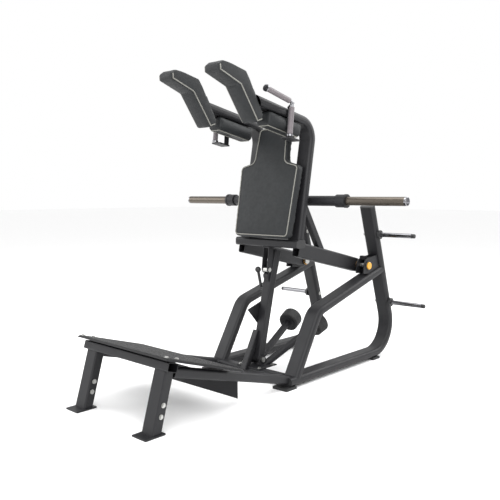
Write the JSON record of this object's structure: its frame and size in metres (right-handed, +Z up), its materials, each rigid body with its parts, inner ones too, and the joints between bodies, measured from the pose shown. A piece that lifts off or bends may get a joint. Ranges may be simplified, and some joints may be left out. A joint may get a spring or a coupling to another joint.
{
  "type": "hack squat machine",
  "caption": "Plate-loaded lever squat machine with foot platform, hinged arm carrying back and shoulder pads, folding prop, weight bar and plate storage horns.",
  "frame": {"origin": "on the floor at the middle of the footprint", "axes": "+X towards the machine's right side as seen from the platform end, +Y from the foot platform to the pivot end, +Z up"},
  "size_m": [1.7, 2.1401, 1.7596],
  "materials": {
    "frame_paint": "satin charcoal powder coat",
    "sleeve_steel": "brushed",
    "chrome_steel": "bright chrome",
    "zinc_steel": "zinc plated",
    "bronze": "sintered bronze",
    "upholstery": "grained leatherette over foam",
    "pad_backing": "stained plywood",
    "grip_grey": "ribbed grey grip",
    "black_rubber": "matt",
    "black_plastic": "matt",
    "yellow_plastic": "glossy golden yellow"
  },
  "bodies": {
    "base_frame": {"bumper_left": "black_rubber", "bumper_post_left": "frame_paint", "bumper_post_right": "frame_paint", "bumper_right": "black_rubber", "foot_plates": "frame_paint", "frame_bolts": "zinc_steel", "front_crossmember": "frame_paint", "front_strut_left": "frame_paint", "front_strut_right": "frame_paint", "horn_collars": "black_plastic", "horn_end_caps": "black_plastic", "horns": "chrome_steel", "leg_left": "frame_paint", "leg_right": "frame_paint", "pivot_axles": "zinc_steel", "pivot_bracket_left": "frame_paint", "pivot_bracket_right": "frame_paint", "pivot_caps": "yellow_plastic", "platform_beam": "frame_paint", "platform_plate": "frame_paint", "platform_tread": "black_rubber", "platform_tube_left": "frame_paint", "platform_tube_right": "frame_paint", "prop_base_bracket": "frame_paint", "prop_hinge_pin": "zinc_steel", "prop_stop_post": "frame_paint", "rubber_feet": "black_rubber", "side_frame_left": "frame_paint", "side_frame_right": "frame_paint", "skirt_plate": "frame_paint", "upright_caps": "black_plastic"},
    "swing_arm_body": {"swing_arm_left": "frame_paint", "swing_arm_right": "frame_paint", "cross_tube": "frame_paint", "cross_tube_caps": "black_plastic", "spine_left": "frame_paint", "spine_right": "frame_paint", "brace_left": "frame_paint", "brace_right": "frame_paint", "weight_bar": "frame_paint", "sleeve_left": "sleeve_steel", "sleeve_right": "sleeve_steel", "sleeve_collars": "frame_paint", "back_pad": "upholstery", "pad_board": "pad_backing", "shoulder_pad_left": "upholstery", "shoulder_pad_right": "upholstery", "shoulder_plates": "frame_paint", "block_pad_left": "upholstery", "block_pad_right": "upholstery", "handle_left": "chrome_steel", "handle_right": "chrome_steel", "handle_grips": "grip_grey", "handle_brackets": "frame_paint", "catch_link": "frame_paint", "catch_pin": "zinc_steel", "pivot_bushes": "bronze"},
    "prop_body": {"prop_strut": "frame_paint", "prop_pedal": "frame_paint", "prop_lever": "black_plastic"}
  },
  "joints": [
    {"name": "arm_pivot", "type": "hinge", "parent": "base_frame", "child": "swing_arm_body", "pos_m": [0, 0.761, 0.632], "axis": [1, 0, 0], "range_deg": [0, 30]},
    {"name": "prop_fold", "type": "hinge", "parent": "base_frame", "child": "prop_body", "pos_m": [0, 0.043, 0.104], "axis": [-1, 0, 0], "range_deg": [0, 45]}
  ],
  "couplings": [
    {"joint": "prop_fold", "follows": "arm_pivot", "ratio": 1.5}
  ]
}
